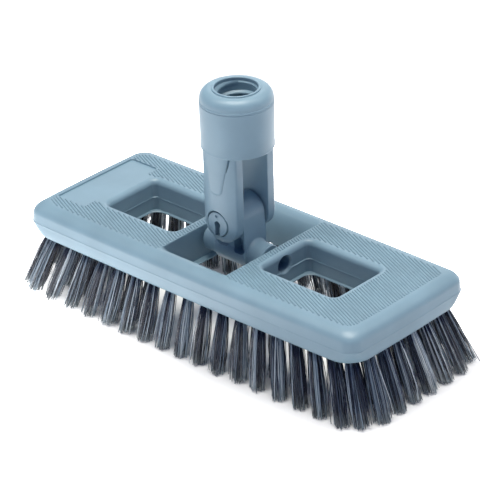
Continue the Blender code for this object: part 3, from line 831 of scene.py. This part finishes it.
ribs = bmesh.new()
for start, end, across in runs:
    taper = min(RIB_TAPER, (end - start) / 3)
    stations = ((start, 0.05), (start + taper / 2, 0.75), (start + taper, 1),
                (end - taper, 1), (end - taper / 2, 0.75), (end, 0.05))
    rings = [rib_ring(ribs, along, across, rise) for along, rise in stations]
    join_rings(ribs, rings)
    close_ends(ribs, rings)
# The ribs' colour is 0.92 of the plastic's: painted shade, not a colour of their own.
rib_painted_shade_colour = tuple(0.92 * part for part in PLASTIC_COLOUR)
matt_shaded_plastic = make_plastic("matt_blue_grey_painted_shade", rib_painted_shade_colour, (0.42, 0.52))
grip_ribs = link_object("grip_ribs", finish_mesh(ribs, "grip_ribs", 60), matt_shaded_plastic)
hang(grip_ribs, "block", "blue_grey_plastic")

# %% [markdown]
# ## The bristle's finish
# The filaments are dark blue-black polyester, glossy along their sides. In the colour many
# are nearly black, some slate blue, and a few pale: the slate and pale ones are painted
# highlight, for glints along the sides and the white floor seen between filaments. Each
# filament carries its own tone, and how far along it a point lies, as two numbers on its
# mesh. The finish reads both: the tone picks the colour and the gloss, and each filament
# grows paler over its last fifth, towards the tip. A colour for each filament as a
# material of its own would need thousands of them.

# %% Make the filament finish
bristle_finish = bpy.data.materials.new("dark_filament")
bristle_finish.use_nodes = True
tree = bristle_finish.node_tree
shader = tree.nodes["Principled BSDF"]


def attribute(tree, name):
    node = tree.nodes.new("ShaderNodeAttribute")
    node.attribute_name = name
    return node.outputs["Fac"]


tones = tree.nodes.new("ShaderNodeValToRGB")
# The slate and near-white stops are painted highlight: glints along the filaments and the white
# floor seen between them.
TONES_AND_GLINTS = ((0.0, (0.005, 0.006, 0.012)), (0.33, (0.030, 0.041, 0.074)),
         (0.66, (0.260, 0.345, 0.430)), (1.0, (0.860, 0.910, 0.920)))
for (position, colour), stop in zip(TONES_AND_GLINTS, tones.color_ramp.elements):
    stop.position = position
    stop.color = (*colour, 1)
for position, colour in TONES_AND_GLINTS[2:]:
    tones.color_ramp.elements.new(position).color = (*colour, 1)
tree.links.new(attribute(tree, "tone"), tones.inputs["Fac"])
tip_mix = tree.nodes.new("ShaderNodeMix")
tip_mix.data_type = "RGBA"
tip_mix.inputs["B"].default_value = (0.20, 0.24, 0.24, 1)
tip_share = tree.nodes.new("ShaderNodeMapRange")
tip_share.inputs["From Min"].default_value = 0.80
tip_share.inputs["From Max"].default_value = 1.0
tip_share.inputs["To Max"].default_value = 0.55
tree.links.new(attribute(tree, "along"), tip_share.inputs["Value"])
tree.links.new(tip_share.outputs["Result"], tip_mix.inputs["Factor"])
tree.links.new(tones.outputs["Color"], tip_mix.inputs["A"])
tree.links.new(tip_mix.outputs["Result"], shader.inputs["Base Color"])
gloss = map_range(tree, attribute(tree, "tone"), 0.22, 0.38)
tree.links.new(gloss.outputs["Result"], shader.inputs["Roughness"])
shader.inputs["IOR"].default_value = 1.65
print("filament finish with", len(TONES_AND_GLINTS), "tones")

# %% [markdown]
# ## The tufts
# A tuft is a round bundle of about 76 filaments. They leave the hole side by side, lean
# with the hole, fan out, and were trimmed flat together, so their tips end at nearly one
# height. The filaments are placed by the golden angle, which fills a disc evenly, then
# jittered. Each is a thin four-sided tube in four lengths, so it can bow a little.
# Neighbours cling together in strands, so each tuft is shared out like a cake, and a
# slice has most of its tone in common. Blender's hair could do this too, but what is
# exported here has to be a plain mesh.

# %% Grow a tuft
FILAMENTS, FILAMENT_RADIUS = 76, 0.00021
STRANDS = 17
ROOT_SPREAD, TIP_SPREAD = 0.0025, 0.0037
LENGTHS, SIDES = 4, 4
ROOT_DEPTH = 0.0015
GOLDEN = math.pi * (3 - math.sqrt(5))
rng = np.random.default_rng(7)


def grow_tuft(x, y):
    """(filaments, stations, 3) middle lines, with each filament's tone."""
    index = np.arange(FILAMENTS)
    share = np.sqrt((index + 0.5) / FILAMENTS)
    angle = index * GOLDEN + rng.uniform(0, 2 * math.pi)
    spoke = np.stack([share * np.cos(angle), share * np.sin(angle)], axis=1)
    root = spoke * ROOT_SPREAD + rng.normal(0, 0.00012, (FILAMENTS, 2))
    fan = TIP_SPREAD * rng.uniform(0.92, 1.06)
    tip = spoke * fan + rng.normal(0, 0.00055, (FILAMENTS, 2))
    stray = rng.random(FILAMENTS) < 0.10
    tip[stray] += spoke[stray] * rng.uniform(0.0006, 0.0026, (int(stray.sum()), 1))
    lean = splay(x, y)
    tip += (lean.x, lean.y)
    tip += rng.normal(0, 0.00035, 2)
    middle = np.array([x, y])
    root, tip = root + middle, tip + middle
    tip_z = np.abs(rng.normal(0, 0.0011, FILAMENTS)) + share**3 * 0.0004
    tip_z[stray] += rng.uniform(0, 0.0020, int(stray.sum()))
    root_z = np.full(FILAMENTS, block_bottom + ROOT_DEPTH)
    bow = rng.normal(0, 0.00045, (FILAMENTS, 2)) + spoke * 0.00055
    stations = []
    for t in np.linspace(0, 1, LENGTHS + 1):
        flat = root * (1 - t) + tip * t + bow * (4 * t * (1 - t))
        height = root_z * (1 - t) + tip_z * t
        stations.append(np.column_stack([flat, height]))
    own = rng.beta(1.3, 1.5, FILAMENTS)
    near_strand = (np.floor((angle % (2 * math.pi)) / (2 * math.pi) * STRANDS)).astype(int)
    strand = rng.beta(0.6, 0.9, STRANDS)[near_strand]
    tone = np.clip(0.25 * own + 0.75 * strand, 0, 1)
    return np.stack(stations, axis=1), tone

# %% Make each row one mesh
def tuft_row_mesh(name, places):
    lines, tones_of = zip(*[grow_tuft(x, y) for x, y in places])
    lines, tone = np.concatenate(lines), np.concatenate(tones_of)
    margin = FILAMENT_RADIUS * 1.05
    lines[:, :, 0] = np.clip(lines[:, :, 0], cad_low.x + margin, cad_high.x - margin)
    lines[:, :, 1] = np.clip(lines[:, :, 1], cad_low.y + margin, cad_high.y - margin)
    count, stations = lines.shape[:2]
    turn = rng.uniform(0, math.pi / 2, count)
    radius = FILAMENT_RADIUS * rng.uniform(0.88, 1.08, count)
    angles = turn[:, None] + np.arange(SIDES) * 2 * math.pi / SIDES
    ring = np.stack([np.cos(angles), np.sin(angles), np.zeros_like(angles)], axis=2)
    points = lines[:, :, None, :] + (ring * radius[:, None, None])[:, None, :, :]
    first = np.arange(count)[:, None] * stations * SIDES
    faces = []
    for k in range(stations - 1):
        for i in range(SIDES):
            j = (i + 1) % SIDES
            a, b = k * SIDES + i, k * SIDES + j
            faces.append(first + np.array([b, a, a + SIDES, b + SIDES]))
    last = (stations - 1) * SIDES
    faces.append(first + np.arange(SIDES))
    faces.append(first + last + np.arange(SIDES)[::-1])
    mesh = bpy.data.meshes.new(name)
    mesh.from_pydata(points.reshape(-1, 3).tolist(), [], np.concatenate(faces).tolist())
    along = np.tile(np.repeat(np.linspace(0, 1, stations), SIDES), count)
    for word, values in (("tone", np.repeat(tone, stations * SIDES)), ("along", along)):
        layer = mesh.attributes.new(word, "FLOAT", "POINT")
        layer.data.foreach_set("value", values.astype(np.float32))
    mesh.shade_smooth()
    mesh.set_sharp_from_angle(angle=math.radians(95))
    return mesh

# %% Hang the rows
for node, places in rows.items():
    name = node.replace("_bristle_row", "_tufts").replace("_row", "_tufts")
    tufts = link_object(name, tuft_row_mesh(name, places), bristle_finish)
    hang(tufts, "block", "dark_bristle", node)

# %% [markdown]
# ## The axle
# A plain rod of hard plastic with chamfered ends. It is pressed through both crossbars
# and stops short inside them, which is why the bores look dark from the windows. It is
# turned, since a cylinder primitive has no chamfer.

# %% Turn the axle
AXLE_RADIUS, CHAMFER, STOPS_SHORT = 0.0040, 0.0005, 0.0030
axle_centre = Vector((0, 0, axle_z))
axle_reach = axle_high.x - STOPS_SHORT
axle_profile = [(0, -axle_reach), (AXLE_RADIUS - CHAMFER, -axle_reach),
                (AXLE_RADIUS, CHAMFER - axle_reach), (AXLE_RADIUS, axle_reach - CHAMFER),
                (AXLE_RADIUS - CHAMFER, axle_reach), (0, axle_reach)]
axle = turned("axle_rod", axle_profile, X_AXIS, axle_centre, 64, plastic)
hang(axle, "block", "blue_grey_plastic", "axle_pin")

# %% [markdown]
# ## The tilting tongue
# The tongue is a thick plate with a round head about the pin and a round foot about the
# axle, with a barrel out of each side that reaches nearly to the crossbars. Its edges are
# softened by a Bevel modifier while its shape is still simple; the barrels, the bores and
# the hollows that save plastic in the foot come after. The plate is the overlap of two
# prisms, one drawn from the front and one from the side.

# %% Shape the tongue
TONGUE_HALF_WIDTH, TONGUE_HALF_THICK, HEAD_RADIUS = 0.0103, 0.0080, 0.0094
HUB_RADIUS, HUB_REACH = 0.0072, link_high.x
NECK_Z = axle_z + 0.0078
below = axle_z - HUB_RADIUS - 0.003
outline = [(TONGUE_HALF_WIDTH, below), (TONGUE_HALF_WIDTH, NECK_Z)]
outline += arc(0, pin_z, HEAD_RADIUS, -4, 184, 48)
outline += [(-TONGUE_HALF_WIDTH, NECK_Z), (-TONGUE_HALF_WIDTH, below)]
tongue = prism("tilting_tongue", outline, Y_AXIS, -TONGUE_HALF_THICK, TONGUE_HALF_THICK, plastic)
above = pin_z + TONGUE_HALF_WIDTH + 0.003
outline = [(-TONGUE_HALF_THICK, above), (-TONGUE_HALF_THICK, NECK_Z)]
outline += arc(0, axle_z, HUB_RADIUS + 0.00002, 172, 368, 48)
outline += [(TONGUE_HALF_THICK, NECK_Z), (TONGUE_HALF_THICK, above)]
combine(tongue, [prism("foot_shape", outline, X_AXIS, -0.02, 0.02)], "INTERSECT")
soften = tongue.modifiers.new("soften", "BEVEL")
soften.width, soften.segments, soften.limit_method = 0.0007, 3, "ANGLE"
soften.angle_limit = math.radians(40)
settle(tongue)
report(tongue)

# %% Add the barrels, the bores and the hollows
barrel = [(0, -HUB_REACH), (HUB_RADIUS - CHAMFER, -HUB_REACH), (HUB_RADIUS, CHAMFER - HUB_REACH)]
fillet = []
for i in range(9):
    angle = math.pi / 2 * i / 8
    place = TONGUE_HALF_WIDTH + 0.0022 * (1 - math.sin(angle))
    fillet.append((HUB_RADIUS + 0.0012 * (1 - math.cos(angle)), place))
barrel += [(r, -p) for r, p in fillet] + [(r, p) for r, p in reversed(fillet)]
barrel += [(HUB_RADIUS, HUB_REACH - CHAMFER), (HUB_RADIUS - CHAMFER, HUB_REACH), (0, HUB_REACH)]
combine(tongue, [turned("barrels", barrel, X_AXIS, axle_centre, 96)], "UNION")


def hollow(side, low_x, high_x, low_z, depth):
    """A pocket in the foot's face with round corners, open to the neck."""
    high_z, round_corner = NECK_Z + 0.0030, 0.0016
    rings = []
    for inward, grow in ((depth, -0.0003), (0, 0), (-0.004, 0.0003)):
        y = side * (HUB_RADIUS - inward)
        half_u, half_v = (high_x - low_x) / 2 + grow, (high_z - low_z) / 2 + grow
        ring = rounded_rectangle(half_u, half_v, round_corner, 6)
        rings.append([((low_x + high_x) / 2 + u, y, (low_z + high_z) / 2 + v) for u, v in ring])
    return loft(f"hollow_{side}_{low_x:.4f}", rings)


def straight_bore(name, radius, along, centre, reach, steps=64):
    profile = [(0, -reach), (radius, -reach), (radius, reach), (0, reach)]
    return turned(name, profile, along, centre, steps)


PIN_BORE = 0.0043
pin_centre = Vector((0, 0, pin_z))
cutters = [hollow(side, 0.0026, 0.0090, axle_z + 0.0014, 0.0042) for side in (-1, 1)]
cutters += [hollow(side, -0.0090, -0.0016, axle_z + 0.0027, 0.0008) for side in (-1, 1)]
cutters += [straight_bore("axle_bore", AXLE_BORE, X_AXIS, axle_centre, 0.03),
            straight_bore("pin_bore", PIN_BORE, Y_AXIS, pin_centre, 0.012)]
combine(tongue, cutters, "DIFFERENCE")
weighted = tongue.modifiers.new("flat_faces_stay_flat", "WEIGHTED_NORMAL")
weighted.keep_sharp = True
hang(tongue, "link", "blue_grey_plastic", "swivel_link")

# %% [markdown]
# ## The handle socket
# The barrel is turned: a threaded bore with a countersunk mouth, a small bead round the
# mouth, a cap with a broad round-over, the fine groove where cap and body meet, and a
# thin bead round the lower rim. One profile turned about the axis gives all of them.

# %% Turn the barrel
BARREL_RADIUS, BARREL_TAPER = 0.01835, 0.0003
BORE_RADIUS, BORE_DEPTH = 0.0103, 0.0265
SHOULDER_Z = 0.1000
CAP_ROUND, SEAM_STEP = 0.0050, 0.0003
TURN_STEPS = 144


def barrel_profile():
    """(radius, height) from the bore's floor up, over the bead and down the outside."""
    cap = socket_top - 0.0006
    floor_z = socket_top - BORE_DEPTH
    mouth = BORE_RADIUS + 0.0006
    profile = [(0, floor_z), (BORE_RADIUS, floor_z)]
    profile += [(BORE_RADIUS, socket_top - 0.0026), (mouth, socket_top - 0.0019)]
    profile += arc(mouth + 0.0005, socket_top - 0.0005, 0.0005, 180, 90, 6)
    profile += arc(mouth + 0.0009, socket_top - 0.0004, 0.0004, 80, 10, 5)
    profile += [(mouth + 0.0014, cap - 0.0001), (mouth + 0.0018, cap)]
    brim = BARREL_RADIUS + BARREL_TAPER
    profile += arc(brim - SEAM_STEP - CAP_ROUND, cap - CAP_ROUND, CAP_ROUND, 88, 0, 16)
    seam = cap - CAP_ROUND - 0.0007
    groove = brim - 0.00022
    profile += [(brim - SEAM_STEP, seam), (brim - 0.00006, seam - 0.00026), (brim, seam - 0.0004)]
    profile += [(brim, seam - 0.0009), (groove, seam - 0.0010), (groove, seam - 0.0013)]
    profile += [(brim - 0.00004, seam - 0.0015)]
    rim_round, rim = 0.0006, BARREL_RADIUS + 0.00022
    profile += [(BARREL_RADIUS + 0.00002, SHOULDER_Z + 0.0018), (rim, SHOULDER_Z + 0.0013)]
    profile += arc(rim - rim_round, SHOULDER_Z + rim_round, rim_round, 0, -90, 6)
    return profile + [(0, SHOULDER_Z)]


socket = turned("handle_barrel", barrel_profile(), Z_AXIS, Vector((0, 0, 0)), TURN_STEPS, plastic)
report(socket)

# %% [markdown]
# ## The fork's ears
# Two ears hang from the barrel. Seen from above each is a slice of a ring with a round
# outer edge. Its lower end is that slice spun half a turn about the pin, and from there
# it runs straight up into the barrel. Down the middle of its outside runs a raised
# shield, flush with the barrel, that narrows to its foot. Spinning gives the rounded
# end in one go, where a Bevel would fail on edges that curve two ways.

# %% Spin the ears
EAR_HALF, EAR_INNER = 0.0111, 0.0089
EAR_STEP, EAR_ROUND, EAR_LIP = 0.0006, 0.0017, 0.0004


def ear_section():
    """Half of an ear seen from above, as (distance from the middle, y)."""
    outer = BARREL_RADIUS - EAR_STEP
    x = EAR_HALF - EAR_ROUND
    y = math.sqrt((outer - EAR_ROUND) ** 2 - x**2)
    turn = math.degrees(math.atan2(y, x))
    section = arc(0, 0, outer, 90, turn, 10) + arc(x, y, EAR_ROUND, turn, 0, 8)[1:]
    return section + arc(EAR_HALF - EAR_LIP, EAR_INNER + EAR_LIP, EAR_LIP, 0, -90, 4)


def make_ear(side, steps=40):
    section = ear_section()
    shape = bmesh.new()

    def vertex(x, y, z):
        return shape.verts.new((x, side * y, z))

    crown = vertex(0, section[0][1], pin_z)
    spun = []
    for i in range(steps + 1):
        angle = math.pi * i / steps
        across, down = math.cos(angle), math.sin(angle)
        spun.append([vertex(r * across, y, pin_z - r * down) for r, y in section[1:]])
    for here, there in zip(spun, spun[1:]):
        shape.faces.new((crown, here[0], there[0]))
        for a, b, c, d in zip(here, there, here[1:], there[1:]):
            shape.faces.new((a, b, d, c))
    right, left = spun[0], spun[-1]
    low = [*reversed(right), crown, *left]
    high = [vertex(v.co.x, side * v.co.y, SHOULDER_Z + 0.0012) for v in low]
    for a, b, c, d in zip(low, low[1:], high, high[1:]):
        shape.faces.new((a, b, d, c))
    shape.faces.new(high)
    shape.faces.new([row[-1] for row in spun] + [high[-1], high[0]])
    return link_object(f"ear_{side}", finish_mesh(shape, f"ear_{side}"))

# %% Shape the shields and fuse all
SHIELD_TOP_HALF, SHIELD_FOOT_HALF = 0.0080, 0.0038
SHIELD_FOOT_Z = SHOULDER_Z - 0.0215


def make_shield(side):
    """A thin curved plate: its outside lies a hair inside the barrel's surface."""
    outer, inner = BARREL_RADIUS - 0.00004, BARREL_RADIUS - EAR_STEP - 0.001
    rings = []
    top = SHOULDER_Z + 0.0011
    rows, columns = 28, 16
    for row in range(rows + 1):
        share = row / rows
        z = top + (SHIELD_FOOT_Z - top) * share
        half = SHIELD_TOP_HALF + (SHIELD_FOOT_HALF - SHIELD_TOP_HALF) * share
        foot = max(0.0, (z - SHIELD_FOOT_Z) / 0.0030)
        half *= math.sqrt(max(1 - (1 - min(foot, 1)) ** 2, 0))
        half = max(half, 0.0004)
        lower = outer - (EAR_STEP + 0.0004) * max(0, 1 - foot) ** 3
        face = [(half * (2 * i / columns - 1)) for i in range(columns + 1)]
        ring = []
        for x in face:
            edge = abs(x) / half
            r = lower - 0.0003 * edge**8
            ring.append((x, side * math.sqrt(r**2 - x**2), z))
        ring += [(x, side * math.sqrt(inner**2 - x**2), z) for x in reversed(face)]
        rings.append(ring)
    return loft(f"shield_{side}", rings)


combine(socket, [make_ear(-1), make_ear(1)], "UNION")
combine(socket, [make_shield(-1), make_shield(1)], "UNION")
report(socket)

# %% [markdown]
# ## The pin's bore and the notches
# A bore runs through both ears, and the front one has a counterbore with a chamfer for
# the pin's head. The keyhole slot of the pin goes on a little way into the ear behind
# it, so it looks deep. A thin wedge is left open beside each shoulder of a shield, where
# the mould closes against the barrel's rim.

# %% Bore the ears
PIN_HEAD_RADIUS, HEAD_ROOM = 0.0064, 0.0007
PAST_BARREL = 0.024
SLOT_HALF = 0.0019
SLOT_STEM = SLOT_HALF * 0.8
SLOT_END = -EAR_INNER - 0.0008
head_floor = BARREL_RADIUS - 0.0012 - 0.0032 - 0.0003
hole, flare = PIN_HEAD_RADIUS + HEAD_ROOM, PIN_HEAD_RADIUS + HEAD_ROOM + 0.0030
face_y = BARREL_RADIUS - EAR_STEP
head_bore = [(0, head_floor), (hole, head_floor), (hole, face_y - 0.0009),
             (flare, face_y + 0.0021), (flare, PAST_BARREL), (0, PAST_BARREL)]


def slot_cutter(low_z):
    """The keyhole slot, long enough to reach into the ear behind the head."""
    top = pin_z + 0.0016 - SLOT_HALF
    outline = [(SLOT_STEM, low_z), (SLOT_STEM, top - 0.0012)]
    outline += arc(0, top, SLOT_HALF, -30, 210, 20)
    outline += [(-SLOT_STEM, top - 0.0012), (-SLOT_STEM, low_z)]
    return prism("slot", outline, Y_AXIS, -PAST_BARREL, SLOT_END)


def notch(side, end):
    """The wedge beside a shield's shoulder, under the barrel's rim."""
    edge = SHIELD_TOP_HALF - 0.0001
    outline = [(edge + 0.0011, SHOULDER_Z + 0.0001), (edge, SHOULDER_Z + 0.0001),
               (edge - 0.0013, SHOULDER_Z - 0.0075), (edge - 0.0010, SHOULDER_Z - 0.0075)]
    outline = [(end * x, z) for x, z in outline]
    deep = BARREL_RADIUS - 0.0034
    return prism(f"notch_{side}_{end}", outline, Y_AXIS, side * deep, side * 0.022)


cutters = [notch(side, end) for side in (-1, 1) for end in (-1, 1)]
cutters += [straight_bore("ear_bore", PIN_BORE, Y_AXIS, pin_centre, 0.022),
            turned("head_bore", head_bore, -Y_AXIS, pin_centre, 96),
            slot_cutter(pin_z - PIN_HEAD_RADIUS)]
combine(socket, cutters, "DIFFERENCE")
weighted = socket.modifiers.new("flat_faces_stay_flat", "WEIGHTED_NORMAL")
weighted.keep_sharp = True
hang(socket, "socket", "blue_grey_plastic", "handle_socket")

# %% [markdown]
# ## The thread in the mouth
# A broom handle screws in with a coarse thread. The socket's thread is a blunt ridge that
# winds down the bore and fades into the wall at both ends. Its section of six points is
# moved along the helix, since a Screw modifier can't fade the ridge out.

# %% Wind the thread
THREAD_PITCH = 0.00508
THREAD_TOP, THREAD_END = socket_top - 0.0030, socket_top - BORE_DEPTH + 0.0020
THREAD_HEIGHT, THREAD_ROOT, THREAD_CREST = 0.0016, 0.0015, 0.0006
THREAD_STEPS, FADE_STEPS, THREAD_START = 48, 20, 2.2
turns = (THREAD_TOP - THREAD_END) / THREAD_PITCH
stations = int(turns * THREAD_STEPS)
thread_rings = []
for i in range(stations + 1):
    angle = 2 * math.pi * i / THREAD_STEPS + THREAD_START
    z = THREAD_TOP - THREAD_PITCH * i / THREAD_STEPS
    fade = min(1, i / FADE_STEPS, (stations - i) / FADE_STEPS)
    height = THREAD_HEIGHT * max(fade, 0.05)
    wall, crest = BORE_RADIUS + 0.0002, BORE_RADIUS - height
    section = [(wall, THREAD_ROOT), (crest + height * 0.12, THREAD_CREST + 0.0001),
               (crest, THREAD_CREST * 0.6), (crest, -THREAD_CREST * 0.6),
               (crest + height * 0.12, -THREAD_CREST - 0.0001), (wall, -THREAD_ROOT)]
    ring = [(r * math.cos(angle), r * math.sin(angle), z + dz) for r, dz in section]
    thread_rings.append(ring)
thread = loft("bore_thread", thread_rings, plastic)
hang(thread, "socket", "blue_grey_plastic")

# %% [markdown]
# ## The pivot pin
# The pin's head lies in a counterbore of the front ear. It has a keyhole slot, open to
# the rim, for the assembly tool, and a small dimple left by the mould's ejector. The pin
# is turned in one go, and a Boolean takes out the slot and the dimple.

# %% Turn the pin
head_y, tail_y = pin_low.y + 0.0003, pin_high.y
PIN_RADIUS, HEAD_THICKNESS, DIMPLE_RADIUS = 0.0040, 0.0030, 0.0008
head_back = head_y + HEAD_THICKNESS
pin_profile = [(0, head_y), (PIN_HEAD_RADIUS - 0.0005, head_y),
               (PIN_HEAD_RADIUS - 0.00015, head_y + 0.00015), (PIN_HEAD_RADIUS, head_y + 0.0005),
               (PIN_HEAD_RADIUS, head_back), (PIN_RADIUS, head_back),
               (PIN_RADIUS, tail_y - 0.0004), (PIN_RADIUS - 0.0004, tail_y), (0, tail_y)]
pin = turned("slotted_pin", pin_profile, Y_AXIS, pin_centre, 96, plastic)
dimple_centre = pin_centre + Vector((-0.0004, head_y, 0.0042))
dimple_profile = [(0, -DIMPLE_RADIUS), *arc(0, 0, DIMPLE_RADIUS, -75, 75, 8), (0, DIMPLE_RADIUS)]
dimple = turned("dimple", dimple_profile, Y_AXIS, dimple_centre, 24)
combine(pin, [slot_cutter(pin_z - 0.0100), dimple], "DIFFERENCE")
hang(pin, "socket", "blue_grey_plastic", "pivot_pin")

# %% [markdown]
# ## Measure and finish
# The size of the solids' box is printed. The dressed brush may not grow past the solids'
# box.

# %% Print the solids' size
print("solids", [round(v / MM, 2) for v in cad_high - cad_low])
